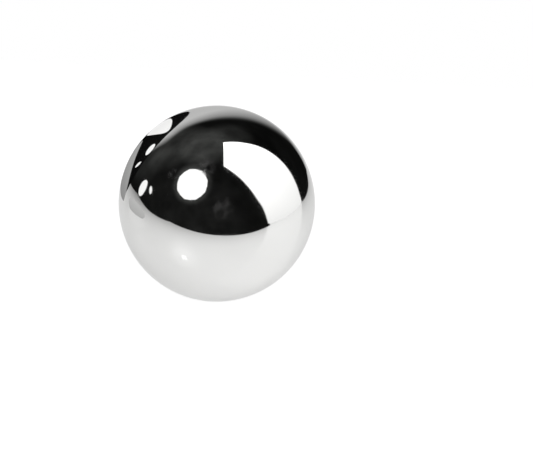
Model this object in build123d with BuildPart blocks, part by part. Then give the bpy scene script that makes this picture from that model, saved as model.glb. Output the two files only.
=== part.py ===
from build123d import *

import os

# A solid bearing-grade steel ball: one piece, with no bore, flat, seam or pole.
# The origin is the ball's centre, with +Z up. Lengths are in millimetres.

# Driving dimension
ball_diameter = 25.4

# Worked out from it
ball_radius = ball_diameter / 2

# Ball
# A half-round profile, closed by the axis that it turns about, makes a full turn.
with BuildPart() as ball:
    with BuildSketch(Plane.XZ) as half_section:
        with BuildLine() as outline:
            half_round = CenterArc((0, 0), ball_radius, start_angle=-90, arc_size=180)
            Line(half_round @ 1, half_round @ 0)
        make_face()
    revolve(axis=Axis.Z)
ball.part.label = "ball"

os.makedirs("parts", exist_ok=True)
export_step(ball.part, "parts/ball.step")
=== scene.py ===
import math

import bmesh
import bpy
from mathutils import Matrix, Quaternion, Vector


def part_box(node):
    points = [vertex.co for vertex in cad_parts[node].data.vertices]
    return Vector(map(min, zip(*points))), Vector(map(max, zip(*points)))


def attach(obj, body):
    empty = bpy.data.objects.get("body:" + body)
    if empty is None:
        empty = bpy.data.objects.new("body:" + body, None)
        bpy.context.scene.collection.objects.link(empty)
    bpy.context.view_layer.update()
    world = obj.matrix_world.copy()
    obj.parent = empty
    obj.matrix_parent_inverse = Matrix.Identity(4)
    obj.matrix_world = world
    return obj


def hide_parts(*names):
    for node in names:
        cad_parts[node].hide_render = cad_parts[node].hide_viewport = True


# The looks of a mirror-polished steel ball: one piece, seen in a plain pale studio.
# Places are in the frame, with the ball's centre at the origin.
# Lengths are multiples of the ball's radius unless they say otherwise, and Blender gets metres.
# Angles in the lists are in degrees unless they say otherwise.

# The frame and the ball's radius
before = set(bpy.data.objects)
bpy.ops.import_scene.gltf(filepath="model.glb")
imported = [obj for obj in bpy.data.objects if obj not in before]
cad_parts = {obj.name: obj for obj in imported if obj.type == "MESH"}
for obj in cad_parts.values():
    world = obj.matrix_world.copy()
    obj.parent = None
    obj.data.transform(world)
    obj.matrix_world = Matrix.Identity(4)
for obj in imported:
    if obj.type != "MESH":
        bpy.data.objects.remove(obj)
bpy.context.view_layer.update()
ball_low, ball_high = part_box("ball")
RADIUS = (ball_high.z - ball_low.z) / 2

# The photograph's frame, in pixels, and where the ball is in it
IMAGE_WIDTH, IMAGE_HEIGHT = 533, 468
BALL_X_PX, BALL_Y_PX = 217.0, 203.6
BALL_RADIUS_PX = 98.2

# The camera
CAMERA_ELEVATION = math.radians(24)
CAMERA_ROLL = math.radians(-3)
LENS_MM = 100
SENSOR_MM = 36
CLIP_RATIO = 100

# The ball's mesh and its map for baking
CELLS_PER_FACE = 96
MAP_NAME = "OFBake"
MAP_COLUMNS, MAP_ROWS = 3, 2
MAP_MARGIN = 0.004

# The steel: its tones, and a tint that darkens the mirror towards the rim
STEEL_BRIGHT = (0.79, 0.79, 0.78, 1)
STEEL_DULL = (0.765, 0.765, 0.755, 1)
RIM_TINT = (0.87, 0.87, 0.87, 1)
POLISHED_ROUGHNESS = 0.035
# The haze: the size of its clouds, and the noise at which it begins and is full
HAZE_SIZE, HAZE_RANGE = 0.9, (0.4, 0.7)
HAZY_ROUGHNESS = 0.075
# Two sets of hairlines: how each is turned, in radians, and the size of its grain
HAIRLINES = [((0.3, 0.5, 0.9), 0.9), ((1.2, -0.7, 2.1), 0.7)]
HAIRLINE_STRETCH = 40
HAIRLINE_WIDTH = 0.02
HAIRLINE_ROUGHNESS = 0.04
# The patches where hairlines show
PATCH_SIZE, PATCH_RANGE = 0.5, (0.45, 0.75)
# Smears on the polish: azimuth and elevation on the ball, and radius
SMEARS = [(-170, 44, 0.12), (-147, 36, 0.07), (177, 22, 0.13), (20, 35, 0.25), (110, -5, 0.2)]
SMEAR_ROUGHNESS = 0.09
SMEAR_FILM = 0.03
# The ridges that break a smear up
RIDGE_SIZE, RIDGE_RANGE = 0.06, (0.4, 0.65)

# The soft light from all round. A camera sees it as white.
WORLD_LEVEL = 0.4

# The table: its outline seen from above, clockwise from the far left
TABLE_Z = -1.0
TABLE_OUTLINE = [
    (-28, 7),
    (4.9, 7),
    (5.55, 8.1),
    (5.85, 6.8),
    (6.15, 5.8),
    (8.3, 4.6),
    (10.6, 3.9),
    (11.1, -6.5),
    (8.2, -4.65),
    (4.2, -5.2),
    (0.7, -5.95),
    (-3.9, -6.6),
    (-8.2, -6.9),
    (-8.8, -4.9),
    (-11.0, -2.5),
]
TABLE_WHITE = 0.45
# The light that it gives out, which is painted light: it rises from its left to its right, and the
# share of it left at the front is painted shade
TABLE_GLOW = (0.58, 0.7)
TABLE_GLOW_X = (-3.0, 5.0)
TABLE_FRONT, TABLE_FRONT_SHARE = (-3.0, -6.5), 0.82
TABLE_IOR = 1.3
TABLE_ROUGHNESS = 0.12
# What a camera sees: brighter, so that the table runs into the white, with a faint shadow
SEEN_WHITE, SEEN_GLOW = 0.3, 0.87

# The backdrop: a sheet that stands at the table's far edge
BACKDROP_Y = 7.0
BACKDROP_LEFT, BACKDROP_TOP = -10.8, 10.0
# Its right edge, from the table up
BACKDROP_RIGHT_EDGE = [(4.9, TABLE_Z), (4.5, -0.7), (4.2, -0.4), (4.0, 0.3)]
# The painted pool of light on it: its middle, the rise of its left part, and its levels
POOL_X = -4.5
POOL_RISE = 0.2
POOL_LEVEL, POOL_OUTER_LEVEL = 0.64, 0.11
# Where it falls from one level to the other, and where its soft edge begins and ends
POOL_FALL = (5.2, 8.4)
POOL_EDGE = (6.9, 9.1)
POOL_LEFT_FADE = 4.0
# The painted light that the table throws on its foot: how bright, and where it starts and ends
LOW_LEVEL, LOW_START, LOW_END = 0.4, 0.7, -0.7

# The softbox: a flat white panel that stands on the table's right edge and leans over the ball
SOFTBOX_FOOT_NEAR = Vector((11.11, -6.79, TABLE_Z))
SOFTBOX_FOOT_FAR = Vector((10.62, 4.0, TABLE_Z))
SOFTBOX_LEAN = math.radians(25)
# Its outline: along its foot from the near end, and up its slope
SOFTBOX_OUTLINE = [
    (0, 0),
    (11.0, 0),
    (10.55, 1.3),
    (10.36, 3.0),
    (10.25, 6.5),
    (10.15, 9.5),
    (9.85, 14.0),
    (9.77, 23.0),
    (-0.85, 22.2),
    (-0.7, 18.3),
    (-0.4, 13.0),
    (-0.3, 6.5),
    (0, 4.0),
]
# How bright it is at its foot and at its top, which is the last height
SOFTBOX_FOOT_LEVEL, SOFTBOX_LEVEL = 1.1, 2.2
SOFTBOX_TOP = 19.4

# The lamp: an eight-sided white umbrella, far off, brightest in its middle
LAMP_AZIMUTH, LAMP_ELEVATION = math.radians(-141.4), math.radians(39.4)
LAMP_DISTANCE = 40.0
LAMP_TURN = math.radians(7)
# How far its ribs and the middles of its sides reach, as tangents
LAMP_RIBS = 8
LAMP_RIB_REACH, LAMP_SIDE_REACH = 0.318, 0.309
# Its levels, and the angles from its core at which one gives way to the other
LAMP_RIM_LEVEL, LAMP_LEVEL = 1.3, 4.4
LAMP_FADE = (math.radians(13.5), math.radians(9))
# Its core: the bulb, a small bright disc just in front of it
CORE_AZIMUTH, CORE_ELEVATION = math.radians(-140.7), math.radians(41.2)
CORE_DISTANCE = 38.0
CORE_REACH = 0.03
CORE_LEVEL = 70.0
CORE_POINTS = 16

# Upright oval cards at the left, cut off at the table, and their levels at foot and top
OVAL_POINTS = 48
FLAG_LEVELS, LIGHT_LEVELS = (0.003, 0.006), (1.1, 1.2)
# Each one's name, azimuth, distance, middle, half-width, half-height, lean to the left, and levels
OVAL_CARDS = [
    ("flag", -32, 3.5, (-0.65, 0.75), 1.8, 1.92, 0, FLAG_LEVELS),
    # The two grey cards are no lamps: their glow is painted light for lit grey surfaces, darker at the
    # foot than at the top, and the low one makes a painted darker patch on the table in the metal's
    # reflection.
    ("painted_light_card", -32, 3.4, (-0.75, -0.45), 1.15, 0.85, 0, (0.36, 0.5)),
    ("strip_light", -32, 3.4, (0.08, 1.05), 0.38, 1.42, 31.5, LIGHT_LEVELS),
    ("round_light", -32, 3.4, (-1.66, 1.67), 0.32, 0.34, 0, LIGHT_LEVELS),
    ("slit_light", -32, 3.4, (-1.92, 0.8), 0.09, 0.3, 28, LIGHT_LEVELS),
    ("low_grey_card", -80, 4.2, (-0.45, -0.7), 1.15, 0.42, 0, (0.52, 0.62)),
    ("oval_light", -80, 4.0, (-0.63, 0.68), 0.34, 0.52, 12, LIGHT_LEVELS),
    ("small_light", -80, 4.0, (-1.48, 1.03), 0.15, 0.26, -40, LIGHT_LEVELS),
]

# The dark surround, a shell of painted shade for the unlit studio: its darkest level, and broad dim
# glows of painted light
ROOM_DISTANCE = 60.0
ROOM_DIVISIONS = 4
ROOM_LEVEL = 0.005
ROOM_TINT = (0.98, 1.0, 0.97, 1)
# Each glow's azimuth, elevation, width and level. The first one is the lamp's halo.
ROOM_GLOWS = [
    (-141, 40, 25, 0.09),
    (-70, 76, 30, 0.045),
    (-62, 45, 31, 0.028),
    (-64, 20, 24, 0.014),
    (25, 68, 24, 0.016),
    (-150, 5, 75, 0.007),
]
# The clouds that mottle it: their scale, and the noise and the shares of light between them
CLOUD_SCALE = 3.0
CLOUD_RANGE, CLOUD_SHARES = (0.3, 0.7), (0.6, 1.4)


def in_metres(point):
    """A point in radii, as metres in the frame."""
    return Vector(point) * RADIUS


def direction(azimuth, elevation):
    """Azimuth 0 looks away from the camera and turns to the right. Both angles are in radians."""
    flat = math.cos(elevation)
    return Vector((math.sin(azimuth) * flat, math.cos(azimuth) * flat, math.sin(elevation)))


# Node helpers
def make_material(name, surface):
    """A material whose shader is the socket that surface(tree) returns."""
    material = bpy.data.materials.new(name)
    material.use_nodes = True
    tree = material.node_tree
    tree.nodes.clear()
    output = tree.nodes.new("ShaderNodeOutputMaterial")
    tree.links.new(surface(tree), output.inputs["Surface"])
    return material


def put(tree, socket, value):
    """Sets a socket to a number or a colour, or links it to another socket."""
    if isinstance(value, bpy.types.NodeSocket):
        tree.links.new(value, socket)
    else:
        socket.default_value = value


def node(tree, kind, **values):
    """A node, with each of its properties and named sockets given a value."""
    made = tree.nodes.new("ShaderNode" + kind)
    for name, value in values.items():
        if hasattr(made, name):
            setattr(made, name, value)
        else:
            put(tree, made.inputs[name.replace("_", " ")], value)
    return made


def maths(tree, operation, *values):
    """The result of a Math node."""
    made = node(tree, "Math", operation=operation)
    for socket, value in zip(made.inputs, values):
        put(tree, socket, value)
    return made.outputs[0]


def along(tree, place, way):
    """How far a place lies in a direction."""
    made = node(tree, "VectorMath", operation="DOT_PRODUCT")
    put(tree, made.inputs[0], place)
    put(tree, made.inputs[1], way)
    return made.outputs["Value"]


def outward_way(tree):
    """The direction from the ball's centre to the place on a surface."""
    place = node(tree, "NewGeometry").outputs["Position"]
    return node(tree, "VectorMath", operation="NORMALIZE", Vector=place).outputs[0]


def ramp(tree, value, start, end, low=0.0, high=1.0, kind="SMOOTHSTEP"):
    """Goes from low to high as the value goes from start to end."""
    made = node(
        tree,
        "MapRange",
        interpolation_type=kind,
        Value=value,
        From_Min=start,
        From_Max=end,
        To_Min=low,
        To_Max=high,
    )
    return made.outputs[0]


def noise(tree, place, size, detail=2.0):
    """Soft random marks of about this size, on a place in metres."""
    return node(tree, "TexNoise", Vector=place, Scale=1 / (size * RADIUS), Detail=detail).outputs["Fac"]


def glow(tree, level, colour=(1, 1, 1, 1)):
    """A surface that gives out light and takes none."""
    return node(tree, "Emission", Color=colour, Strength=level).outputs[0]


# Object helpers
def mesh_object(name, fill, material, smooth=False):
    """An object whose mesh is made by fill(shape) in a bmesh."""
    mesh = bpy.data.meshes.new(name)
    shape = bmesh.new()
    fill(shape)
    for face in shape.faces:
        face.smooth = smooth
    shape.to_mesh(mesh)
    shape.free()
    mesh.materials.append(material)
    made = bpy.data.objects.new(name, mesh)
    bpy.context.scene.collection.objects.link(made)
    return made


def flat_sheet(name, corners, material):
    """One flat face through its corners."""

    def fill(shape):
        shape.faces.new([shape.verts.new(in_metres(c)) for c in corners])

    return mesh_object(name, fill, material)


def add_card(card):
    """A studio card shows in the metal and lights the table, and no camera sees it."""
    card.visible_camera = False
    card.visible_shadow = False


# Camera
def make_camera():
    focal_px = LENS_MM / SENSOR_MM * IMAGE_WIDTH
    distance = RADIUS / math.sin(math.atan(BALL_RADIUS_PX / focal_px))
    away = direction(math.pi, CAMERA_ELEVATION)
    look = (-away).to_track_quat("-Z", "Y")
    ball_ray = Vector((BALL_X_PX - IMAGE_WIDTH / 2, IMAGE_HEIGHT / 2 - BALL_Y_PX, -focal_px))
    turn = ball_ray.rotation_difference(Vector((0, 0, -1)))
    data = bpy.data.cameras.new("camera")
    data.lens = LENS_MM
    data.sensor_width = SENSOR_MM
    data.clip_start = distance / CLIP_RATIO
    data.clip_end = distance * CLIP_RATIO
    camera = bpy.data.objects.new("camera", data)
    camera.rotation_mode = "QUATERNION"
    camera.rotation_quaternion = Quaternion(-away, CAMERA_ROLL) @ look @ turn
    camera.location = away * distance
    bpy.context.scene.collection.objects.link(camera)
    bpy.context.scene.camera = camera


# World
def make_world():
    world = bpy.data.worlds.new("white_surround")
    world.use_nodes = True
    background = world.node_tree.nodes["Background"]
    background.inputs["Color"].default_value = (1, 1, 1, 1)
    seen = node(world.node_tree, "LightPath").outputs["Is Camera Ray"]
    level = ramp(world.node_tree, seen, 0, 1, WORLD_LEVEL, 1.0)
    put(world.node_tree, background.inputs["Strength"], level)
    bpy.context.scene.world = world


# Table
def paper(tree, white, level):
    """White that is lit, and also gives out a painted light of its own, at the level it is given."""
    both = node(tree, "AddShader")
    put(tree, both.inputs[0], node(tree, "BsdfDiffuse", Color=(white, white, white, 1)).outputs[0])
    put(tree, both.inputs[1], glow(tree, level))
    return both.outputs[0]


def mix(tree, share, first, second):
    """The first shader, with the given share of the second one."""
    both = node(tree, "MixShader", Fac=share)
    put(tree, both.inputs[1], first)
    put(tree, both.inputs[2], second)
    return both.outputs[0]


def table_surface(tree):
    """White paper under a thin gloss. A camera sees only white, which runs into the background."""
    gloss = node(tree, "BsdfGlossy", Roughness=TABLE_ROUGHNESS).outputs[0]
    fresnel = node(tree, "Fresnel", IOR=TABLE_IOR).outputs[0]
    place = node(tree, "NewGeometry").outputs["Position"]
    x = maths(tree, "DIVIDE", along(tree, place, (1, 0, 0)), RADIUS)
    y = maths(tree, "DIVIDE", along(tree, place, (0, 1, 0)), RADIUS)
    # Painted light: the glow rises towards the softbox on the right, and painted shade makes it darker
    # at the front.
    level = maths(
        tree,
        "MULTIPLY",
        ramp(tree, x, *TABLE_GLOW_X, *TABLE_GLOW, "LINEAR"),
        ramp(tree, y, *TABLE_FRONT, 1, TABLE_FRONT_SHARE, "LINEAR"),
    )
    in_metal = mix(tree, fresnel, paper(tree, TABLE_WHITE, level), gloss)
    by_camera = node(tree, "LightPath").outputs["Is Camera Ray"]
    return mix(tree, by_camera, in_metal, paper(tree, SEEN_WHITE, SEEN_GLOW))


def make_table():
    corners = [(x, y, TABLE_Z) for x, y in reversed(TABLE_OUTLINE)]
    flat_sheet("table", corners, make_material("table_white", table_surface))


# Backdrop
def backdrop_surface(tree):
    """A painted pool of light on a thin sheet, round at its right end and drawn out to the left."""
    place = node(tree, "NewGeometry").outputs["Position"]
    x = maths(tree, "DIVIDE", along(tree, place, (1, 0, 0)), RADIUS)
    z = maths(tree, "DIVIDE", along(tree, place, (0, 0, 1)), RADIUS)
    beside = maths(tree, "SUBTRACT", x, POOL_X)
    right = maths(tree, "MAXIMUM", beside, 0.0)
    left = maths(tree, "MINIMUM", beside, 0.0)
    height = maths(tree, "MULTIPLY_ADD", left, POOL_RISE, z)
    flat = node(tree, "CombineXYZ", X=right, Z=height).outputs[0]
    away = node(tree, "VectorMath", operation="LENGTH", Vector=flat).outputs["Value"]
    pool = ramp(tree, away, *POOL_FALL, POOL_LEVEL, POOL_OUTER_LEVEL, "LINEAR")
    pool = maths(tree, "MULTIPLY", pool, ramp(tree, away, *POOL_EDGE, 1, 0))
    low = ramp(tree, z, LOW_START, LOW_END, 0, LOW_LEVEL)
    pool = maths(tree, "ADD", pool, low)
    left_fade = ramp(tree, x, BACKDROP_LEFT, BACKDROP_LEFT + POOL_LEFT_FADE, kind="LINEAR")
    sheet = node(tree, "AddShader")
    put(tree, sheet.inputs[0], node(tree, "BsdfTransparent").outputs[0])
    put(tree, sheet.inputs[1], glow(tree, maths(tree, "MULTIPLY", pool, left_fade)))
    return sheet.outputs[0]


def make_backdrop():
    left, top = BACKDROP_LEFT, BACKDROP_TOP
    right = BACKDROP_RIGHT_EDGE[-1][0]
    outline = [(left, TABLE_Z), *BACKDROP_RIGHT_EDGE, (right, top), (left, top)]
    corners = [(x, BACKDROP_Y, z) for x, z in outline]
    backdrop = flat_sheet("backdrop", corners, make_material("backdrop_light_pool", backdrop_surface))
    backdrop.visible_diffuse = False
    add_card(backdrop)


# Cards that glow
def rising_glow(tree, foot_level, level, top):
    """A glow that changes evenly from the table up to a height."""
    height = along(tree, node(tree, "NewGeometry").outputs["Position"], (0, 0, 1))
    return glow(tree, ramp(tree, height, TABLE_Z * RADIUS, top * RADIUS, foot_level, level, "LINEAR"))


# Softbox
def softbox_surface(tree):
    return rising_glow(tree, SOFTBOX_FOOT_LEVEL, SOFTBOX_LEVEL, SOFTBOX_TOP)


def make_softbox():
    across = (SOFTBOX_FOOT_FAR - SOFTBOX_FOOT_NEAR).normalized()
    inward = Vector((-across.y, across.x, 0))
    up = inward * math.sin(SOFTBOX_LEAN) + Vector((0, 0, 1)) * math.cos(SOFTBOX_LEAN)
    corners = [SOFTBOX_FOOT_NEAR + across * a + up * b for a, b in SOFTBOX_OUTLINE]
    add_card(flat_sheet("softbox", corners, make_material("softbox_white", softbox_surface)))


# Lamp
def lamp_surface(tree):
    facing = along(tree, outward_way(tree), direction(CORE_AZIMUTH, CORE_ELEVATION))
    outer, inner = [math.cos(angle) for angle in LAMP_FADE]
    return glow(tree, ramp(tree, facing, outer, inner, LAMP_RIM_LEVEL, LAMP_LEVEL))


def core_surface(tree):
    return glow(tree, CORE_LEVEL)


def facing_card(name, towards, distance, reaches, turn, surface):
    """A flat card that faces the ball. Its corners are at these reaches in turn, as tangents."""
    side = towards.cross(Vector((0, 0, 1))).normalized()
    up = side.cross(towards)
    rim = []
    for step, reach in enumerate(reaches):
        angle = turn + math.tau * step / len(reaches)
        rim.append((towards + (side * math.cos(angle) + up * math.sin(angle)) * reach) * distance)
    add_card(flat_sheet(name, rim, make_material(name + "_white", surface)))


def make_lamp():
    towards = direction(LAMP_AZIMUTH, LAMP_ELEVATION)
    reaches = [LAMP_RIB_REACH, LAMP_SIDE_REACH] * LAMP_RIBS
    facing_card("lamp", towards, LAMP_DISTANCE, reaches, LAMP_TURN, lamp_surface)
    towards = direction(CORE_AZIMUTH, CORE_ELEVATION)
    facing_card("lamp_core", towards, CORE_DISTANCE, [CORE_REACH] * CORE_POINTS, 0, core_surface)


# Flags and small lights
def oval_card(name, azimuth, distance, middle, half_width, half_height, lean, levels):
    """An upright oval that faces the ball's axis. Its foot is cut off at the table."""
    towards = direction(math.radians(azimuth), 0)
    across = Vector((towards.y, -towards.x, 0))
    turned = Matrix.Rotation(math.radians(lean), 2)
    corners = []
    for step in range(OVAL_POINTS):
        angle = math.tau * step / OVAL_POINTS
        rim = Vector((math.cos(angle) * half_width, math.sin(angle) * half_height))
        u, z = Vector(middle) + turned @ rim
        corners.append(towards * distance + across * u + Vector((0, 0, max(z, TABLE_Z))))
    top = middle[1] + half_height
    material = make_material(name + "_glow", lambda tree: rising_glow(tree, *levels, top))
    card = flat_sheet(name, corners, material)
    card.visible_diffuse = False
    add_card(card)


def make_oval_cards():
    for card in OVAL_CARDS:
        oval_card(*card)


# Dark surround
def room_surface(tree):
    """Near black painted shade, with broad dim glows of painted light and a soft mottle."""
    outward = outward_way(tree)
    level = ROOM_LEVEL
    for azimuth, elevation, width, brightness in ROOM_GLOWS:
        facing = along(tree, outward, direction(math.radians(azimuth), math.radians(elevation)))
        patch = ramp(tree, facing, math.cos(math.radians(width)), 1, 0, brightness)
        level = maths(tree, "ADD", level, patch)
    clouds = node(tree, "TexNoise", Vector=outward, Scale=CLOUD_SCALE, Detail=3.0).outputs["Fac"]
    mottle = ramp(tree, clouds, *CLOUD_RANGE, *CLOUD_SHARES, "LINEAR")
    return glow(tree, maths(tree, "MULTIPLY", level, mottle), ROOM_TINT)


def make_room():
    def fill(shape):
        bmesh.ops.create_icosphere(shape, subdivisions=ROOM_DIVISIONS, radius=ROOM_DISTANCE * RADIUS)

    room = mesh_object("room", fill, make_material("room_dark", room_surface), smooth=True)
    room.visible_diffuse = False
    add_card(room)


# Steel
def hairlines(tree, place, turn, size):
    """Fine lines that lapping leaves. They run one way and fade in and out."""
    drawn_out = (1, 1 / HAIRLINE_STRETCH, 1 / HAIRLINE_STRETCH)
    turned = node(
        tree,
        "Mapping",
        vector_type="TEXTURE",
        Vector=place,
        Rotation=turn,
        Scale=drawn_out,
    )
    grain = noise(tree, turned.outputs[0], size)
    off_line = maths(tree, "ABSOLUTE", maths(tree, "SUBTRACT", grain, 0.5))
    return ramp(tree, off_line, HAIRLINE_WIDTH, 0.0)


def smear(tree, place, azimuth, elevation, radius):
    """A soft round patch on the ball, 1 in its middle."""
    facing = along(tree, place, direction(math.radians(azimuth), math.radians(elevation)))
    return ramp(tree, facing, math.cos(radius) * RADIUS, RADIUS)


def steel_surface(tree):
    """Mirror steel with faint haze, hairlines from lapping, and thin smears from handling."""
    place = node(tree, "TexCoord").outputs["Object"]
    haze = ramp(tree, noise(tree, place, HAZE_SIZE, detail=4.0), *HAZE_RANGE)
    first, second = [hairlines(tree, place, turn, size) for turn, size in HAIRLINES]
    lines = maths(tree, "MAXIMUM", first, second)
    patches = ramp(tree, noise(tree, place, PATCH_SIZE), *PATCH_RANGE)
    lines = maths(tree, "MULTIPLY", lines, patches)
    smears = smear(tree, place, *SMEARS[0])
    for spot in SMEARS[1:]:
        smears = maths(tree, "MAXIMUM", smears, smear(tree, place, *spot))
    ridges = ramp(tree, noise(tree, place, RIDGE_SIZE, detail=3.0), *RIDGE_RANGE)
    smears = maths(tree, "MULTIPLY", smears, ridges)

    colour = node(tree, "Mix", data_type="RGBA", Factor=haze)
    put(tree, colour.inputs["A"], STEEL_BRIGHT)
    put(tree, colour.inputs["B"], STEEL_DULL)
    roughness = ramp(tree, haze, 0, 1, POLISHED_ROUGHNESS, HAZY_ROUGHNESS, "LINEAR")
    roughness = maths(tree, "MULTIPLY_ADD", lines, HAIRLINE_ROUGHNESS, roughness)
    roughness = maths(tree, "MULTIPLY_ADD", smears, SMEAR_ROUGHNESS, roughness)
    metal = ramp(tree, smears, 0, 1, 1.0, 1.0 - SMEAR_FILM, "LINEAR")
    steel = node(
        tree,
        "BsdfPrincipled",
        Base_Color=colour.outputs["Result"],
        Metallic=metal,
        Roughness=roughness,
        Specular_Tint=RIM_TINT,
    )
    return steel.outputs[0]


def ball_mesh(shape):
    """A cube's even grid, blown out to a sphere: no pole, and cells of nearly one size."""
    bmesh.ops.create_cube(shape, size=2)
    edges = shape.edges[:]
    bmesh.ops.subdivide_edges(shape, edges=edges, cuts=CELLS_PER_FACE - 1, use_grid_fill=True)
    lay_out_map(shape)
    for vertex in shape.verts:
        even = Vector([math.tan(c * math.pi / 4) for c in vertex.co])
        vertex.co = even.normalized() * RADIUS


def lay_out_map(shape):
    """Puts the cube's six sides side by side, three across and two up."""
    layer = shape.loops.layers.uv.new(MAP_NAME)
    shrunk = 1 - 2 * MAP_MARGIN * MAP_COLUMNS
    for face in shape.faces:
        middle = face.calc_center_median()
        axis = max(range(3), key=lambda i: abs(middle[i]))
        row = int(middle[axis] > 0)
        for loop in face.loops:
            at = loop.vert.co
            across = (at[(axis + 1) % 3] + 1) / 2
            up = (at[(axis + 2) % 3] + 1) / 2
            loop[layer].uv = (
                (axis + 0.5 + (across - 0.5) * shrunk) / MAP_COLUMNS,
                (row + 0.5 + (up - 0.5) * shrunk) / MAP_ROWS,
            )


def make_ball():
    steel = make_material("polished_steel", steel_surface)
    ball = mesh_object("steel_ball", ball_mesh, steel, smooth=True)
    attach(ball, "root")
    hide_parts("ball")


make_camera()
make_world()
make_table()
make_backdrop()
make_softbox()
make_lamp()
make_oval_cards()
make_room()
make_ball()

bpy.context.scene.view_settings.view_transform = "Standard"
